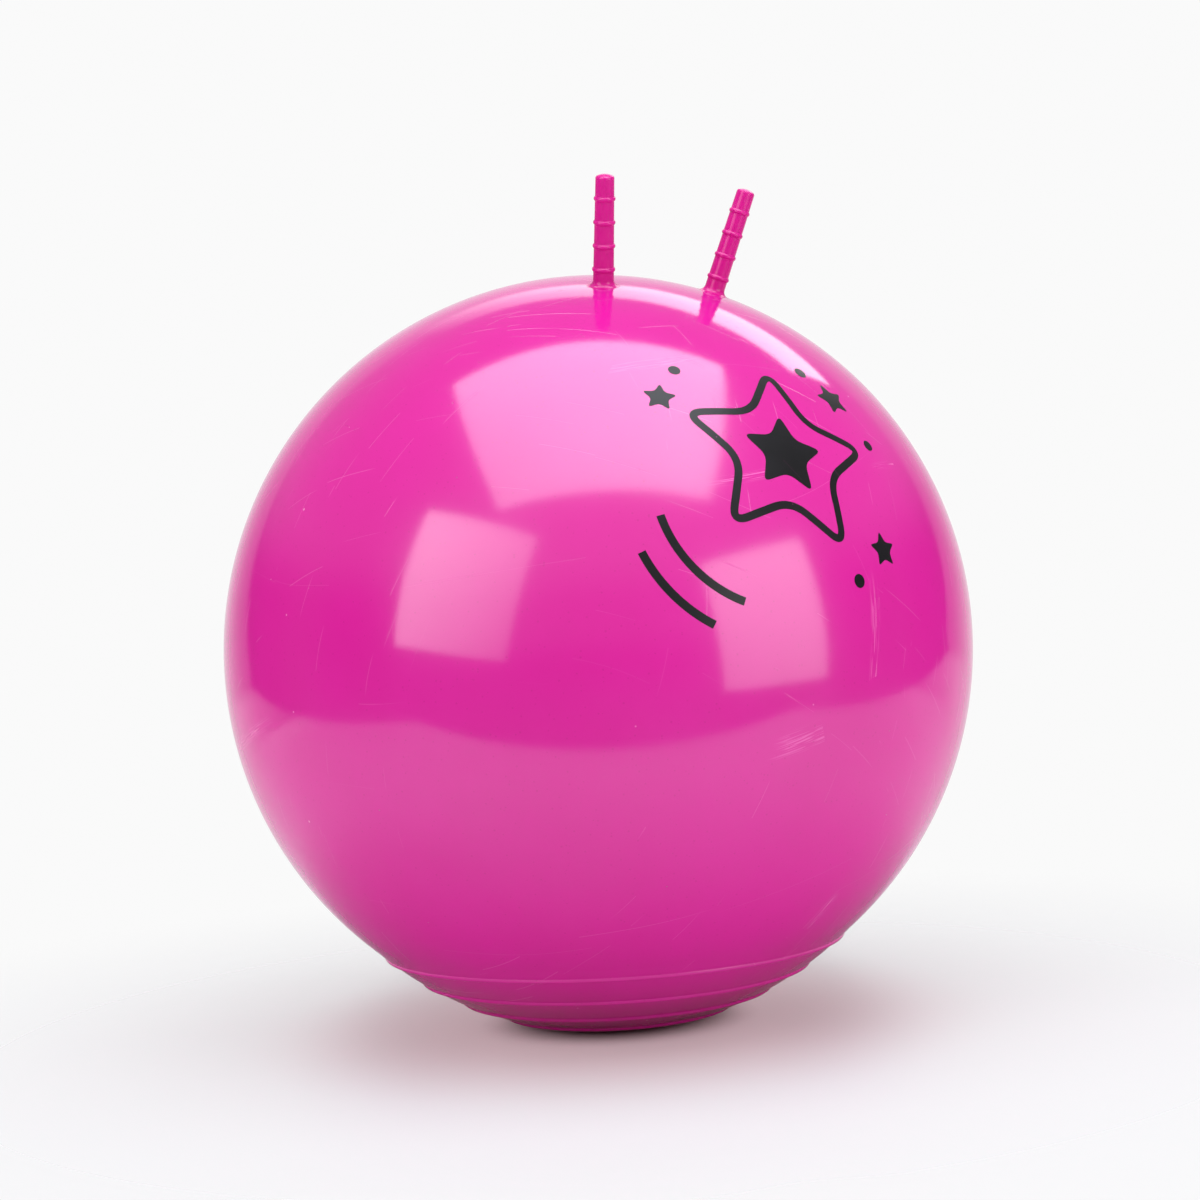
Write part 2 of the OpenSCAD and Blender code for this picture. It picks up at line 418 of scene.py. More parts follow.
def vinyl(name, colour, shade, gloss, gloss_swing, shine, haze, wave_depth):
    """Moulded vinyl: mottled, scratched, scuffed, specked and pitted, with gentle waves and a soft haze."""
    finish = Finish(name)
    mottle = finish.noise(scale=7.0, detail=4.0).ease(0.35, 0.7)
    scratches = finish.mask(SCRATCHES, turn=LONG_STROKE_TURN, **LONG_STROKES)
    for turn in STROKE_TURNS:
        scratches = scratches + finish.mask(SCRATCHES, turn=turn, **STROKES)
    scratches = scratches.do("MINIMUM", 1.0)
    first_rub, second_rub = [finish.mask(SCRATCHES, turn=turn, **RUBS) for turn in RUB_TURNS]
    scuffs = first_rub + second_rub
    dark = finish.mask(SPECKS, **DARK_SPECKS)
    pale = finish.mask(SPECKS, **PALE_SPECKS)
    pits = finish.mask(SPECKS, **PITS)
    base = finish.blend(mottle * 0.5, colour, shade)
    rubbed = finish.blend((scratches * 0.15 + scuffs * 0.20).do("MINIMUM", 1.0), base, RUBBED_PINK)
    # Dark specks of dirt, and painted shade in the pits: each pit is darkened in colour as well as sunk in
    # the bump
    specked_and_pit_shaded = finish.blend((dark * 0.55).do("MAXIMUM", pits * 0.22), rubbed, DIRT_AND_PIT_SHADE_PLUM)
    dusted = finish.blend(pale * 0.35, specked_and_pit_shaded, DUST_PINK)
    smudge = finish.noise(scale=5.0, detail=5.0).ease(0.3, 0.75)
    roughness = gloss + smudge * gloss_swing + scratches * 0.12 + scuffs * 0.16 + dark * 0.2
    waves = finish.bump(finish.noise(scale=6.5, detail=1.0), wave_depth)
    grain = finish.noise(scale=650.0, detail=2.0)
    relief = dark * 0.6 + pale * 0.5 + grain * 0.35 - scratches - pits * 0.5
    face = finish.bump(relief, MARK_DEPTH, waves)
    facing = finish.number(finish.add("ShaderNodeLayerWeight", {"Blend": 0.5}).outputs["Facing"])
    sheen = (haze + smudge * haze * 0.5) * (1.0 - facing.ease(0.15, 0.55))
    return finish.wear(
        Base_Color=dusted, Roughness=roughness, Normal=face, IOR=1.5, Specular_IOR_Level=shine,
        Coat_Weight=sheen, Coat_Roughness=0.32,
    )


INK_BLACK = linear(12, 11, 13)
INK_GREY = linear(26, 24, 28)
INK_WORN = linear(150, 60, 120)
INK_GRAIN_DEPTH = 0.02 * MM


def print_ink():
    """Screen-printed black: satin, rubbed through in fine specks and scratches."""
    finish = Finish("print_ink")
    worn = finish.mask(SPECKS, fineness=120.0, size=0.07, share=0.10)
    hairs = finish.mask(
        SCRATCHES, turn=(0.3, 0.5, 0.9), density=60.0, length=20 * MM, width=0.3 * MM, share=0.3,
    )
    cloud = finish.noise(scale=30.0, detail=4.0)
    base = finish.blend(cloud * 0.6, INK_BLACK, INK_GREY)
    colour = finish.blend((worn * 0.5 + hairs * 0.2).do("MINIMUM", 1.0), base, INK_WORN)
    roughness = 0.26 + cloud * 0.12 + hairs * 0.1
    grain = finish.bump(finish.noise(scale=900.0, detail=2.0), INK_GRAIN_DEPTH)
    return finish.wear(
        Base_Color=colour, Roughness=roughness, Normal=grain, IOR=1.5, Specular_IOR_Level=0.25,
    )


PLUG_WHITE = linear(240, 238, 232)
PLUG_AGED = linear(226, 220, 206)
PLUG_DIRT = linear(150, 130, 120)
PLUG_MARK_DEPTH = 0.03 * MM


def plug_white():
    """Hard white plastic, handled: faint yellowing, specks of dust, fine scratches."""
    finish = Finish("plug_white")
    age = finish.noise(scale=90.0, detail=3.0).ease(0.35, 0.75)
    hairs = finish.mask(
        SCRATCHES, turn=(0.9, 0.2, 0.4), density=250.0, length=6 * MM, width=0.06 * MM, share=0.6,
    )
    dirt = finish.mask(SPECKS, fineness=700.0, size=0.16, share=0.2)
    base = finish.blend(age * 0.6, PLUG_WHITE, PLUG_AGED)
    colour = finish.blend(dirt * 0.35, base, PLUG_DIRT)
    roughness = 0.3 + age * 0.12 + hairs * 0.15
    face = finish.bump(dirt * 0.4 - hairs, PLUG_MARK_DEPTH)
    return finish.wear(Base_Color=colour, Roughness=roughness, Normal=face, IOR=1.48)


skin = vinyl(
    "skin_vinyl", colour=linear(190, 21, 132), shade=linear(183, 17, 124),
    gloss=0.09, gloss_swing=0.05, shine=0.62, haze=0.32, wave_depth=0.4 * MM,
)
horn_skin = vinyl(
    "horn_vinyl", colour=linear(189, 15, 122), shade=linear(181, 12, 115),
    gloss=0.19, gloss_swing=0.05, shine=0.34, haze=0.05, wave_depth=0.05 * MM,
)
seat_skin = vinyl(
    "seat_vinyl", colour=linear(186, 24, 126), shade=linear(178, 20, 119),
    gloss=0.34, gloss_swing=0.08, shine=0.4, haze=0.1, wave_depth=0.03 * MM,
)
ink = print_ink()
plug_finish = plug_white()


# Ball skin

def ball_tree():
    """The ball as a rule: at each angle from its lowest point, the furthest of ball, sole and rib."""
    tree = ShapeTree(
        "Ball with a ribbed sole",
        ball_radius="Float", ball_height="Float", sole_radius="Float", sole_height="Float",
        rib_count="Int", first_rib_angle="Float", rib_step_angle="Float", rib_bead_radius="Float",
        rib_proud="Float", rib_fillet="Float", floor_fillet="Float", patch_angle="Float",
        ribbed_angle="Float", crowd_angle="Float", crowd_step="Float", crowding="Float",
        rows="Int", columns="Int", valve_hole_radius="Float", valve_hole_depth="Float",
        material="Material",
    )
    ball_r = tree.given("ball_radius")
    sole_r = tree.given("sole_radius")
    sphere = tree.add("GeometryNodeMeshUVSphere", {
        "Segments": tree.given("columns"), "Rings": tree.given("rows"), "Radius": 1.0,
    }).outputs["Mesh"]
    x, y, z = tree.parts(tree.add("GeometryNodeInputPosition").outputs[0])
    out = (x * x + y * y).root()
    row = out.do("ARCTAN2", z * -1.0) / math.pi

    # Most rows go to the ribbed part of the sole, and there they crowd at each rib
    patch_share = 0.08
    ribbed_share = 0.60
    patch_angle = tree.given("patch_angle")
    ribbed_angle = tree.given("ribbed_angle")
    patch = row.share(0.0, patch_share) * patch_angle
    ribbed = row.share(patch_share, ribbed_share) * (ribbed_angle - patch_angle)
    rest = row.share(ribbed_share, 1.0) * (math.pi - ribbed_angle)
    even = patch + ribbed + rest
    crowd_step = tree.given("crowd_step")
    phase = (even - tree.given("crowd_angle")) * (2 * math.pi) / crowd_step
    past_patch = even.ease(patch_angle - 0.1, patch_angle)
    within_ribs = 1.0 - even.ease(ribbed_angle, ribbed_angle + 0.12)
    pull = crowd_step * tree.given("crowding") / (2 * math.pi) * past_patch * within_ribs
    angle = even - phase.do("SINE") * pull
    sideways = angle.do("SINE")
    down = angle.do("COSINE")

    drop = tree.given("ball_height") - tree.given("sole_height")
    toward = drop * down
    sole_reach = toward + (sole_r * sole_r - drop * drop + toward * toward).root()
    sole_angle = (sole_reach * sideways).do("ARCTAN2", sole_reach * down - drop)
    step = tree.given("rib_step_angle")
    count = ((tree.given("first_rib_angle") - sole_angle) / step).do("ROUND")
    nearest = count.clear_of(0.0).do("MINIMUM", tree.given("rib_count") - 1.0)
    rib_angle = tree.given("first_rib_angle") - nearest * step
    bead_r = tree.given("rib_bead_radius")
    bead_reach = sole_r + tree.given("rib_proud") - bead_r
    bead_out = bead_reach * rib_angle.do("SINE")
    bead_down = bead_reach * rib_angle.do("COSINE") + drop
    along = bead_out * sideways + bead_down * down
    off = bead_out * bead_out + bead_down * bead_down - along * along
    bead = along + (bead_r * bead_r - off).root()

    plain = ball_r.do("MAXIMUM", sole_reach)
    ribbed_reach = plain.do("SMOOTH_MAX", bead, tree.given("rib_fillet"))
    least_down = 0.02
    to_floor = tree.given("ball_height") / down.clear_of(least_down)
    reach = ribbed_reach.do("SMOOTH_MIN", to_floor, tree.given("floor_fillet"))

    span = reach * sideways
    place = tree.vector(span * (x / out), span * (y / out), tree.given("ball_height") - reach * down)
    ball = tree.add("GeometryNodeSetPosition", {"Geometry": sphere, "Position": place}).outputs[0]
    depth = tree.given("valve_hole_depth")
    drill = tree.add("GeometryNodeMeshCylinder", {
        "Vertices": 128, "Radius": tree.given("valve_hole_radius"), "Depth": depth * 2.0,
    }).outputs["Mesh"]
    at_back = tree.vector(0.0, ball_r, tree.given("ball_height"))
    aim = {"Geometry": drill, "Translation": at_back, "Rotation": (math.pi / 2, 0.0, 0.0)}
    drill = tree.add("GeometryNodeTransform", aim).outputs[0]
    pair = {"Mesh 1": ball, "Mesh 2": drill}
    pierced = tree.add("GeometryNodeMeshBoolean", pair, operation="DIFFERENCE", solver="MANIFOLD")
    return tree.close(tree.sharp(pierced.outputs[0], CREASE_DEGREES))


def seen_from_ball(sole_angle):
    """An angle at the sole's own centre, as the same point's angle at the ball's centre."""
    return math.atan2(SOLE_R * math.sin(sole_angle), SOLE_R * math.cos(sole_angle) + BALL_Z - SOLE_Z)


FIRST_RIB = SOLE_EDGE_ANGLE - RIB_MARGIN / SOLE_R
RIB_STEP = RIB_PITCH / SOLE_R
ball_skin = grow(
    "ball_skin_visual", ball_tree(),
    ball_radius=BALL_R, ball_height=BALL_Z, sole_radius=SOLE_R, sole_height=SOLE_Z,
    rib_count=RIB_COUNT, first_rib_angle=FIRST_RIB, rib_step_angle=RIB_STEP,
    rib_bead_radius=bead_radius(RIB_W, RIB_PROUD), rib_proud=RIB_PROUD, rib_fillet=RIB_FILLET,
    floor_fillet=FLOOR_FILLET, patch_angle=math.radians(11), ribbed_angle=math.radians(44),
    crowd_angle=seen_from_ball(FIRST_RIB),
    crowd_step=seen_from_ball(FIRST_RIB) - seen_from_ball(FIRST_RIB - RIB_STEP),
    crowding=0.75, rows=410, columns=220,
    valve_hole_radius=NECK_R + BOND_GAP, valve_hole_depth=VALVE_HOLE_DEPTH, material=skin,
)
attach(ball_skin, "ball")
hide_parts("ball_skin")


# Horns

def horn_tree():
    """A stretch of a ringed horn as a rule: its radius at each height over the skin."""
    tree = ShapeTree(
        "Ringed horn",
        from_height="Float", to_height="Float", root_radius="Float", tip_radius="Float",
        foot_height="Float", fillet_radius="Float", fillet_height="Float", shoulder_height="Float",
        tip_flat_radius="Float", tip_edge_radius="Float", dome_radius="Float", horn_length="Float",
        ring_count="Int", low_ring_height="Float", ring_pitch="Float", ring_bead_radius="Float",
        ring_proud="Float", ring_fillet="Float", rows="Int", columns="Int", ball_radius="Float",
        ball_height="Float", side_angle="Float", forward_angle="Float", material="Material",
    )
    rows = tree.given("rows")
    sphere = tree.add("GeometryNodeMeshUVSphere", {
        "Segments": tree.given("columns"), "Rings": rows, "Radius": 1.0,
    }).outputs["Mesh"]
    x, y, z = tree.parts(tree.add("GeometryNodeInputPosition").outputs[0])
    out = (x * x + y * y).root()
    row = out.do("ARCTAN2", z * -1.0) / math.pi * rows

    # The first and last rows close the ends, and the rest crowd towards both ends
    up = row.ease(1.0, rows - 1.0)
    low = tree.given("from_height")
    height = low + up * (tree.given("to_height") - low)

    root_r = tree.given("root_radius")
    foot_h = tree.given("foot_height")
    shoulder = tree.given("shoulder_height")
    narrowing = (root_r - tree.given("tip_radius")) / (shoulder - foot_h)
    taper = root_r - narrowing * (height - foot_h).clear_of(0.0)

    fillet = tree.given("fillet_radius")
    under = (tree.given("fillet_height") - height).clear_of(0.0)
    flare = fillet - (fillet * fillet - under * under).root()

    edge = tree.given("tip_edge_radius")
    over = (height - shoulder).clear_of(0.0)
    rounding = tree.given("tip_flat_radius") + (edge * edge - over * over).root()
    side = taper * (rounding / tree.given("tip_radius")) + flare
    dome = tree.given("dome_radius")
    dome_over = (height - tree.given("horn_length") + dome).clear_of(0.0)
    body = side.do("MINIMUM", (dome * dome - dome_over * dome_over).root())

    pitch = tree.given("ring_pitch")
    low_ring = tree.given("low_ring_height")
    count = ((height - low_ring) / pitch).do("ROUND")
    nearest = count.clear_of(0.0).do("MINIMUM", tree.given("ring_count") - 1.0)
    off = height - low_ring - nearest * pitch
    bead_r = tree.given("ring_bead_radius")
    bead = taper + tree.given("ring_proud") - bead_r + (bead_r * bead_r - off * off).root()
    radius = body.do("SMOOTH_MAX", bead, tree.given("ring_fillet"))
    bare_tip = height.do("GREATER_THAN", shoulder)
    radius = radius + (body - radius) * bare_tip

    place = tree.vector(radius * (x / out), radius * (y / out), tree.given("ball_radius") + height)
    horn = tree.add("GeometryNodeSetPosition", {"Geometry": sphere, "Position": place}).outputs[0]
    seams = {"Geometry": horn, "Distance": WELD_DISTANCE}
    joined = tree.add("GeometryNodeMergeByDistance", seams).outputs[0]
    lean = {"Geometry": joined, "Rotation": tree.vector(0.0, tree.given("side_angle"), 0.0)}
    leaning = tree.add("GeometryNodeTransform", lean).outputs[0]
    stand = {
        "Geometry": leaning,
        "Translation": tree.vector(0.0, 0.0, tree.given("ball_height")),
        "Rotation": tree.vector(tree.given("forward_angle"), 0.0, 0.0),
    }
    standing = tree.add("GeometryNodeTransform", stand).outputs[0]
    return tree.close(tree.sharp(standing, CREASE_DEGREES))


# The foot's hollow curve all but touches the ball, so that the two run into each other
FOOT_CURVE_X = HORN_ROOT_R + FOOT_FILLET_R
FOOT_CURVE_H = math.sqrt((BALL_R + FOOT_FILLET_R - FOOT_SINK) ** 2 - FOOT_CURVE_X ** 2) - BALL_R

# A horn is divided just over its lowest ring, near its joints
BEND_H = RING_LOW_H + RING_W / 2 + RING_CLEARANCE
RINGED_HORN = horn_tree()


def horn_stretch(name, side, low, high, rows):
    """One piece of a horn, between two heights over the skin."""
    return grow(
        name, RINGED_HORN,
        from_height=low, to_height=high, root_radius=HORN_ROOT_R, tip_radius=HORN_TIP_R,
        foot_height=FOOT_H, fillet_radius=FOOT_FILLET_R, fillet_height=FOOT_CURVE_H,
        shoulder_height=SHOULDER_H, tip_flat_radius=TIP_FLAT_R, tip_edge_radius=TIP_EDGE_R,
        dome_radius=TIP_DOME_R, horn_length=HORN_L, ring_count=RING_COUNT,
        low_ring_height=RING_LOW_H, ring_pitch=RING_PITCH,
        ring_bead_radius=bead_radius(RING_W, RING_PROUD), ring_proud=RING_PROUD,
        ring_fillet=RING_FILLET, rows=rows, columns=72, ball_radius=BALL_R, ball_height=BALL_Z,
        side_angle=side * HORN_SIDE, forward_angle=HORN_FORWARD, material=horn_skin,
    )


for hand, side in (("left", 1), ("right", -1)):
    root = horn_stretch(hand + "_horn_root_visual", side, FOOT_CURVE_H - FOOT_FILLET_R, BEND_H, rows=220)
    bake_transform(root)
    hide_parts(hand + "_horn_root")
    horn = horn_stretch(hand + "_horn_visual", side, BEND_H, HORN_L, rows=460)
    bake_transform(horn)
    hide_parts(hand + "_horn")


# Valve

def turned(name, outline, material):
    """A closed piece turned round the valve's axis from (radius, reach from the ball's centre) points."""
    points = []
    faces = []
    for radius, reach in outline:
        for step in range(VALVE_STEPS):
            angle = 2 * math.pi * step / VALVE_STEPS
            points.append((radius * math.cos(angle), reach, BALL_Z + radius * math.sin(angle)))
    for ring in range(len(outline)):
        here = ring * VALVE_STEPS
        above = (ring + 1) % len(outline) * VALVE_STEPS
        for step in range(VALVE_STEPS):
            after = (step + 1) % VALVE_STEPS
            faces.append((here + step, here + after, above + after, above + step))
    mesh = bpy.data.meshes.new(name)
    mesh.from_pydata(points, [], faces)
    mesh.materials.append(material)
    shape = bmesh.new()
    shape.from_mesh(mesh)
    bmesh.ops.remove_doubles(shape, verts=shape.verts, dist=WELD_DISTANCE)
    bmesh.ops.dissolve_degenerate(shape, edges=shape.edges, dist=WELD_DISTANCE)
    bmesh.ops.recalc_face_normals(shape, faces=shape.faces)
    for face in shape.faces:
        face.smooth = True
    for edge in shape.edges:
        edge.smooth = edge.calc_face_angle(0.0) < math.radians(VALVE_CREASE_DEGREES)
    shape.to_mesh(mesh)
    shape.free()
    piece = bpy.data.objects.new(name, mesh)
    bpy.context.collection.objects.link(piece)
    return piece


def rounded(corners, radius=0, steps=5):
    """An outline with each corner rounded, as a list of points. A corner may give its own radius."""
    most_of_side = 0.45
    result = []
    for index, corner in enumerate(corners):
        here = Vector(corner[:2])
        before = Vector(corners[index - 1][:2]) - here
        after = Vector(corners[(index + 1) % len(corners)][:2]) - here
        size = corner[2] if len(corner) > 2 else radius
        if size == 0 or before.length == 0 or after.length == 0:
            result.append(tuple(here))
            continue
        cut = min(size, before.length * most_of_side, after.length * most_of_side)
        start = here + before.normalized() * cut
        end = here + after.normalized() * cut
        for step in range(steps + 1):
            t = step / steps
            result.append(tuple(start * (1 - t) ** 2 + here * 2 * t * (1 - t) + end * t ** 2))
    return result


def on_ball(radius):
    """How far from the ball's centre, along the valve's axis, its face is at a radius from that axis."""
    return math.sqrt(BALL_R ** 2 - radius ** 2)


# Corners of the outlines: radius from the valve's axis, reach from the ball's centre, and rounding
SEAT_EDGE = 0.35 * MM
SEAT_MIDDLE_R = (RECESS_R + NECK_R) / 2
seat_outline = rounded([
    (VALVE_BORE_R, RECESS_FLOOR, 0.2 * MM),
    (RECESS_R, RECESS_FLOOR, 0.3 * MM),
    (RECESS_R, on_ball(RECESS_R), SEAT_EDGE),
    (SEAT_MIDDLE_R, on_ball(SEAT_MIDDLE_R), 0),
    (NECK_R, on_ball(NECK_R), SEAT_EDGE),
    (NECK_R, FLANGE_BACK, 0),
    (TUBE_R, FLANGE_BACK, 0.5 * MM),
    (TUBE_R, RECESS_FLOOR - TUBE_L, 0.4 * MM),
    (VALVE_BORE_R, RECESS_FLOOR - TUBE_L, 0.2 * MM),
])
seat = turned("valve_seat_visual", seat_outline, seat_skin)
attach(seat, "ball")
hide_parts("valve_seat")

BARB_EDGE = 0.15 * MM
barbs = []
for index in range(BARB_COUNT):
    low = NOSE_END + NOSE_L + index * BARB_PITCH
    high = low + BARB_L
    barbs += [(SHANK_R, low, 0), (BARB_R, high, BARB_EDGE), (SHANK_R, high, BARB_EDGE)]
plug_outline = rounded([
    (0, NOSE_END, 0),
    (NOSE_R, NOSE_END, 0.5 * MM),
    *barbs,
    (SHANK_R, RECESS_FLOOR, 0.4 * MM),
    (HEAD_R, RECESS_FLOOR, 0.2 * MM),
    (HEAD_R, HEAD_TOP, 0.6 * MM),
    (DIMPLE_RIM_R, HEAD_TOP, 0.8 * MM),
    (DIMPLE_R, HEAD_TOP - DIMPLE_D, 0.6 * MM),
    (0, HEAD_TOP - DIMPLE_D, 0),
])
plug = turned("valve_plug_visual", plug_outline, plug_finish)
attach(plug, "plug")
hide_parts("valve_plug")


# Print

PRINT_TURN = math.radians(-3.0)
PRINT_RISE = math.radians(22.5)
INK_LIFT = 0.05 * MM
INK_T = 0.05 * MM
INK_LINE_W = 5.8 * MM
INK_POINT_STEP = 1.5 * MM


def ink_tree():
    """Flat artwork, as lines or as filled shapes, laid on the ball in a thin coat."""
    tree = ShapeTree(
        "Ink on the ball", takes_curves=True,
        filled="Bool", line_width="Float", point_step="Float", ball_radius="Float", ball_height="Float",
        lift="Float", thickness="Float", turn="Float", rise="Float", material="Material",
    )
    art = tree.entry.outputs["Geometry"]
    pace = {"Curve": art, "Length": tree.given("point_step")}
    even = tree.add("GeometryNodeResampleCurve", pace, mode="LENGTH").outputs[0]
    flat = tree.add("GeometryNodeSetCurveNormal", {"Curve": even}, mode="Z_UP").outputs[0]
    half = tree.given("line_width") * 0.5
    width = {"Start": tree.vector(half * -1.0, 0.0, 0.0), "End": tree.vector(half, 0.0, 0.0)}
    stripe = tree.add("GeometryNodeCurvePrimitiveLine", width).outputs[0]
    stripe = tree.add("GeometryNodeResampleCurve", {"Curve": stripe, "Count": 5}, mode="COUNT").outputs[0]
    lines = tree.add("GeometryNodeCurveToMesh", {"Curve": flat, "Profile Curve": stripe}).outputs[0]
    fills = tree.add("GeometryNodeFillCurve", {"Curve": even}, mode="TRIANGLES").outputs[0]
    fills = tree.add("GeometryNodeSubdivideMesh", {"Mesh": fills, "Level": 3}).outputs[0]
    choice = {"Switch": tree.given("filled"), "False": lines, "True": fills}
    sheet = tree.add("GeometryNodeSwitch", choice).outputs[0]

    # Each point keeps its direction and its distance from the middle, measured over the ball
    x, y, _ = tree.parts(tree.add("GeometryNodeInputPosition").outputs[0])
    away = (x * x + y * y).root()
    angle = away / tree.given("ball_radius")
    reach = tree.given("ball_radius") + tree.given("lift")
    out = reach * angle.do("SINE")
    place = tree.vector(out * (x / away), out * (y / away), reach * angle.do("COSINE"))
    laid = tree.add("GeometryNodeSetPosition", {"Geometry": sheet, "Position": place}).outputs[0]
    coat = {"Mesh": laid, "Offset Scale": tree.given("thickness"), "Individual": False}
    raised = tree.add("GeometryNodeExtrudeMesh", coat).outputs["Mesh"]
    under = tree.add("GeometryNodeFlipFaces", {"Mesh": laid}).outputs[0]
    both = tree.add("GeometryNodeJoinGeometry")
    tree.data.links.new(raised, both.inputs[0])
    tree.data.links.new(under, both.inputs[0])
    seams = {"Geometry": both.outputs[0], "Distance": WELD_DISTANCE}
    shut = tree.add("GeometryNodeMergeByDistance", seams).outputs[0]
    stand = {
        "Geometry": shut,
        "Translation": tree.vector(0.0, 0.0, tree.given("ball_height")),
        "Rotation": tree.vector(math.pi / 2 - tree.given("rise"), 0.0, tree.given("turn")),
    }
    standing = tree.add("GeometryNodeTransform", stand).outputs[0]
    return tree.close(tree.sharp(standing, CREASE_DEGREES))


def star(x, y, size, depth, tilt, rounding):
    """A five-pointed star with rounded points: sizes in millimetres, as a list of points in metres."""
    corners = []
    for index in range(10):
        reach = size if index % 2 == 0 else size * depth
        angle = math.radians(90 + tilt + 36 * index)
        corners.append((x + reach * math.cos(angle), y + reach * math.sin(angle)))
    return [(px * MM, py * MM) for px, py in rounded(corners, rounding, steps=8)]


def arc(x, y, radius, start, end):
    """A stretch of a circle: sizes in millimetres, angles in degrees, as a list of points in metres."""
    count = 40
    points = []
    for index in range(count + 1):
        angle = math.radians(start + (end - start) * index / count)
        points.append(((x + radius * math.cos(angle)) * MM, (y + radius * math.sin(angle)) * MM))
    return points


def dot(x, y, radius):
    """A round dot. Its outline stops about one step short of a full turn, and is closed by the curve."""
    return arc(x, y, radius, start=0, end=351)


def artwork(name, strokes):
    """Flat curves from (points, closed) strokes."""
    data = bpy.data.curves.new(name, "CURVE")
    data.dimensions = "3D"
    for points, closed in strokes:
        spline = data.splines.new("POLY")
        spline.points.add(len(points) - 1)
        for point, (x, y) in zip(spline.points, points):
            point.co = (x, y, 0.0, 1.0)
        spline.use_cyclic_u = closed
    return data


line_art = [
    (star(5, 12, size=76, depth=0.50, tilt=-12, rounding=14), True),
    (arc(-18, -18, radius=82, start=186, end=246), False),
    (arc(-23, -23, radius=98, start=196, end=238), False),
]
fill_art = [
    (star(5, 12, size=33, depth=0.50, tilt=-12, rounding=6), True),
    (star(76, 68, size=16, depth=0.48, tilt=14, rounding=3), True),
    (star(-74, 66, size=13, depth=0.48, tilt=-20, rounding=2.5), True),
    (star(76, -58, size=14, depth=0.48, tilt=6, rounding=2.5), True),
    (dot(57, 92, radius=5), True),
    (dot(94, 28, radius=4.5), True),
    (dot(46, -82, radius=5), True),
    (dot(-54, 90, radius=4.5), True),
]
INK_TREE = ink_tree()
for name, strokes, filled in (("print_lines", line_art, False), ("print_fills", fill_art, True)):
    piece = grow(
        name, INK_TREE, base=artwork(name + "_art", strokes), filled=filled, line_width=INK_LINE_W,
        point_step=INK_POINT_STEP, ball_radius=BALL_R, ball_height=BALL_Z, lift=INK_LIFT, thickness=INK_T,
        turn=PRINT_TURN, rise=PRINT_RISE, material=ink,
    )
    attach(piece, "ball")


# Camera, floor and light

CAMERA_TURN = math.radians(-32.0)
CAMERA_RISE = math.radians(-0.3)
CAMERA_DISTANCE = 1.5
CAMERA_ROLL = math.radians(3.18)
IMAGE_SIDE = 1200
FOCAL_PIXELS = 1835.0
SENSOR_MM = 36.0
BALL_PIXEL = (598.4, 647.65)


def place_camera():
    """The camera looks past the ball's centre, so that the ball falls where the picture has it."""
    data = bpy.data.cameras.new("camera")
    data.sensor_width = SENSOR_MM
    data.lens = FOCAL_PIXELS / IMAGE_SIDE * SENSOR_MM
    camera = bpy.data.objects.new("camera", data)
    bpy.context.collection.objects.link(camera)
    back = Vector((
        math.sin(CAMERA_TURN) * math.cos(CAMERA_RISE),
        -math.cos(CAMERA_TURN) * math.cos(CAMERA_RISE),
        math.sin(CAMERA_RISE),
    ))
    pan = math.atan((BALL_PIXEL[0] - IMAGE_SIDE / 2) / FOCAL_PIXELS)
    tilt = math.atan((BALL_PIXEL[1] - IMAGE_SIDE / 2) / FOCAL_PIXELS)
    turn = Matrix.Rotation(CAMERA_TURN, 4, "Z") @ Matrix.Rotation(math.pi / 2 - CAMERA_RISE, 4, "X")
    turn = turn @ Matrix.Rotation(-CAMERA_ROLL, 4, "Z")
    turn = turn @ Matrix.Rotation(tilt, 4, "X") @ Matrix.Rotation(pan, 4, "Y")
    spot = Vector((0, 0, BALL_Z)) + CAMERA_DISTANCE * back
    camera.matrix_world = Matrix.Translation(spot) @ turn
    bpy.context.scene.camera = camera


# Studio directions: right, toward the camera and up, as level unit vectors
STUDIO_RIGHT = Vector((math.cos(CAMERA_TURN), math.sin(CAMERA_TURN), 0))
STUDIO_NEAR = Vector((math.sin(CAMERA_TURN), -math.cos(CAMERA_TURN), 0))
STUDIO_UP = Vector((0, 0, 1))


def in_studio(right, near, up):
    """A place given by the studio's directions, in metres from where the ball stands."""
    return STUDIO_RIGHT * right + STUDIO_NEAR * near + STUDIO_UP * up


def soft_box(
    name, place, width, height, radiance, roll=0.0, lean=(0.0, 0.0), mirrored=True, tint=(1, 1, 1),
):
    """A flat lamp that faces the ball. Its brightness leans over its width and height by these shares."""
    data = bpy.data.lights.new(name, "AREA")
    data.shape = "RECTANGLE"
    data.size = width
    data.size_y = height
    data.color = tint
    data.energy = radiance * math.pi * width * height
    data.use_nodes = True
    tree = Tree(data.node_tree)
    across, along, _ = tree.parts(tree.add("ShaderNodeNewGeometry").outputs["Parametric"])
    level = 1.0 + (across - 0.5) * lean[0] + (along - 0.5) * lean[1]
    tree.feed(data.node_tree.nodes["Emission"].inputs["Strength"], level)
    lamp = bpy.data.objects.new(name, data)
    bpy.context.collection.objects.link(lamp)
    spot = in_studio(*place)
    away = spot - Vector((0, 0, BALL_Z))
    lamp.matrix_world = (
        Matrix.Translation(spot)
        @ away.to_track_quat("Z", "Y").to_matrix().to_4x4()
        @ Matrix.Rotation(math.radians(roll), 4, "Z")
    )
    lamp.visible_camera = False
    lamp.visible_glossy = mirrored


FLOOR_HALF = 8.0
PAPER_PALE = (0.56, 0.56, 0.565, 1)
PAPER_GREY = (0.55, 0.55, 0.555, 1)
# Painted bounce light: the paper as it lights the ball is paler than it looks
PAPER_PAINTED_BOUNCE = (0.85, 0.85, 0.85, 1)
# Painted pink light on the paper near the ball
PAPER_PINK_LIGHT = (0.46, 0.32, 0.32, 1)
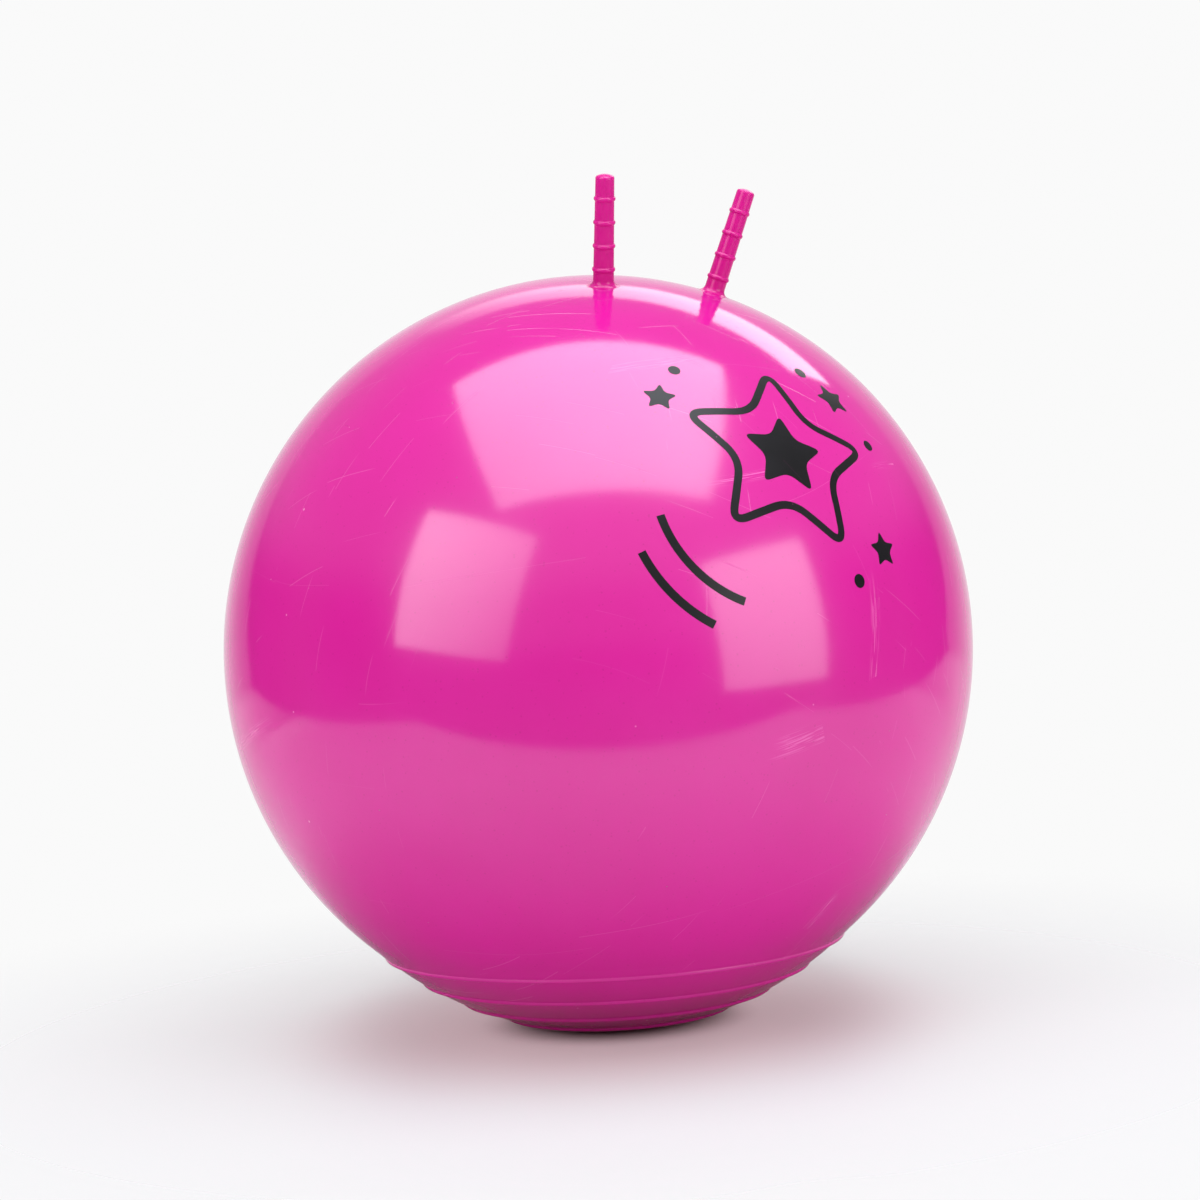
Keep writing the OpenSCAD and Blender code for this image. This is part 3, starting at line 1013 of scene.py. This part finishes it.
# Painted shadow, seen only in mirror rays
PAPER_IN_SHADE = (0.05, 0.035, 0.04, 1)
BEYOND_PAPER = (0.03, 0.03, 0.03, 1)
WHITE = (1.0, 1.0, 1.0, 1)
# Painted pink light in the white that shows through the paper near the ball
PINK_LIGHT_TINT = (1.0, 0.72, 0.80, 1)


def lay_floor():
    """Pale paper. To the camera it fades into the background, and in reflections it ends like a sheet."""
    corners = [(x * FLOOR_HALF, y * FLOOR_HALF, 0) for x, y in ((-1, -1), (1, -1), (1, 1), (-1, 1))]
    mesh = bpy.data.meshes.new("floor")
    mesh.from_pydata(corners, [], [(0, 1, 2, 3)])
    floor = bpy.data.objects.new("floor", mesh)
    bpy.context.collection.objects.link(floor)
    finish = Finish("floor_paper")
    cloud = finish.noise(scale=3.0, detail=3.0)
    seen_paper = finish.blend(cloud * 0.5, PAPER_PALE, PAPER_GREY)
    studio = {"Vector": finish.place, "Rotation": (0, 0, -CAMERA_TURN)}
    right, behind, _ = finish.parts(finish.add("ShaderNodeMapping", studio).outputs[0])
    away = (right * right + behind * behind).root()
    across = right * 1.3
    along = behind * 0.6
    oval = (across * across + along * along).root()

    # How much of the paper gives way to the background: least where the ball stands, and all of it far out
    # Near the ball this pales and shapes the cast shadow that the camera sees: painted light and shade
    off_contact = away.ease(0.06, 0.12)
    under_side = away.ease(0.15, 0.30)
    beside = right.do("ABSOLUTE").ease(0.08, 0.16)
    off_shadow = oval.ease(0.22, 0.36)
    far_out = away.ease(0.25, 0.95)
    fade = off_contact * 0.38 - under_side * 0.05 - beside * 0.06 + off_shadow * 0.22 + far_out * 0.51

    # Where the sheet ends, as the ball mirrors it
    near_edge = (right * 0.06 - behind).ease(0.67, 0.74)
    side_edge = ((right + 0.105).do("ABSOLUTE") - behind).ease(1.46, 1.60)
    far_edge = behind.ease(0.2, 0.9) * (1.0 - side_edge)

    # Painted light and shade: near the ball the paper is painted pink, as if flushed by light from the
    # ball, and for mirror rays it is painted darker where the ball mirrors its own shadow
    pink_light_share = 1.0 - away.ease(0.06, 0.32)
    rays = finish.add("ShaderNodeLightPath")
    bounced = finish.number(rays.outputs["Is Diffuse Ray"])
    seen = finish.number(rays.outputs["Is Camera Ray"])
    mirrored = finish.number(rays.outputs["Is Glossy Ray"])
    # Painted bounce light: for diffuse rays the paper is paler than the camera sees it
    paper_with_painted_bounce = finish.blend(bounced, seen_paper, PAPER_PAINTED_BOUNCE)
    pink_lit_paper = finish.blend(pink_light_share, paper_with_painted_bounce, PAPER_PINK_LIGHT)
    # Painted shadow: for mirror rays the paper near the ball is darkened where the ball mirrors its own
    # shadow
    painted_mirrored_shadow = mirrored * away.ease(0.08, 0.22) * (1.0 - away.ease(0.22, 0.60))
    shaded_paper = finish.blend(painted_mirrored_shadow * 0.65, pink_lit_paper, PAPER_IN_SHADE)
    # The paper also glows for diffuse rays, from a little way out from the ball: painted bounce light on
    # the ball
    finish.wear(
        Base_Color=finish.blend(mirrored * side_edge, shaded_paper, BEYOND_PAPER), Roughness=0.6,
        Emission_Color=WHITE, Emission_Strength=bounced * away.ease(0.10, 0.40) * 0.12,
    )
    upper_side = 1.0 - finish.number(finish.add("ShaderNodeNewGeometry").outputs["Backfacing"])
    hidden = seen * fade + mirrored * near_edge.do("MAXIMUM", far_edge)
    solid = (1.0 - hidden) * upper_side
    # Painted pink light: near the ball the white that shows through the paper is tinted pink
    tint = finish.blend(pink_light_share, WHITE, PINK_LIGHT_TINT)
    clear = finish.add("ShaderNodeBsdfTransparent", {"Color": tint}).outputs[0]
    mix = finish.add("ShaderNodeMixShader", {0: solid, 1: clear, 2: finish.shader.outputs[0]})
    finish.feed(finish.data.nodes["Material Output"].inputs["Surface"], mix.outputs[0])
    mesh.materials.append(finish.material)


BACKDROP_LEVEL = 0.82
SEEN_LEVEL = 0.955
LEAST_DEPTH = 0.001


def light_room():
    """A white backdrop behind the ball and a dim room on the camera's side. The camera sees plain white."""
    world = bpy.data.worlds.new("studio")
    world.use_nodes = True
    bpy.context.scene.world = world
    tree = Tree(world.node_tree)
    way = tree.add("ShaderNodeTexCoord").outputs["Generated"]
    turn = tree.add("ShaderNodeMapping", {"Vector": way, "Rotation": (0, 0, -CAMERA_TURN)}).outputs[0]
    right, behind, up = tree.parts(turn)
    depth = behind.clear_of(LEAST_DEPTH)
    side_slope = right.do("ABSOLUTE") / depth
    up_slope = up / depth
    off_middle = side_slope + up_slope.clear_of(0.0) * 0.85
    wide = (1.0 - off_middle.ease(0.40, 1.25) * 0.62) * (1.0 - off_middle.ease(1.28, 1.33))
    low = 1.0 - up_slope.ease(0.85, 1.0)
    back_half = behind.ease(0.0, 0.1)
    backdrop = wide * low * back_half
    front = (behind * -1.0).ease(0.5, 1.0)
    room = 0.05 + up.ease(0.18, 0.45) * 0.32 + front * up.ease(-0.10, 0.10) * 0.26
    above = room + backdrop * (BACKDROP_LEVEL - room)
    far_floor = 0.80 - side_slope.ease(0.8, 1.6) * 0.20
    below = (1.0 - up.ease(-0.07, -0.035)) * back_half
    radiance = above + below * (far_floor - above)
    rays = tree.add("ShaderNodeLightPath")
    seen = tree.number(rays.outputs["Is Camera Ray"])
    strength = radiance + seen * (SEEN_LEVEL - radiance)
    shade = tree.data.nodes["Background"]
    tree.feed(shade.inputs["Color"], WHITE)
    tree.feed(shade.inputs["Strength"], strength)


place_camera()
lay_floor()
light_room()
soft_box(
    "overhead", place=(0.07, 0.645, 1.875), width=1.88, height=1.68, radiance=4.1, roll=-2.4,
    lean=(0.35, 0.15), tint=(0.95, 1.0, 1.07),
)
soft_box(
    "left_box", place=(-1.10, 1.45, 0.86), width=1.13, height=1.17, radiance=3.0, roll=-10.2,
    lean=(-0.8, 0.45),
)
soft_box(
    "right_box", place=(1.39, 1.29, 0.47), width=1.09, height=1.14, radiance=3.0, roll=6.3,
    lean=(0.1, 0.5),
)
soft_box(
    "back_strip", place=(0.36, -1.66, 2.31), width=2.76, height=0.58, radiance=2.1, roll=2.5,
    lean=(-2.0, 0.0),
)
for name, right, radiance in (("left_fill", -1.5, 2.75), ("right_fill", 1.5, 2.2)):
    place = (right, -0.5, 0.45)
    soft_box(name, place, width=1.4, height=1.2, radiance=radiance, mirrored=False)
bpy.context.scene.view_settings.view_transform = "Standard"
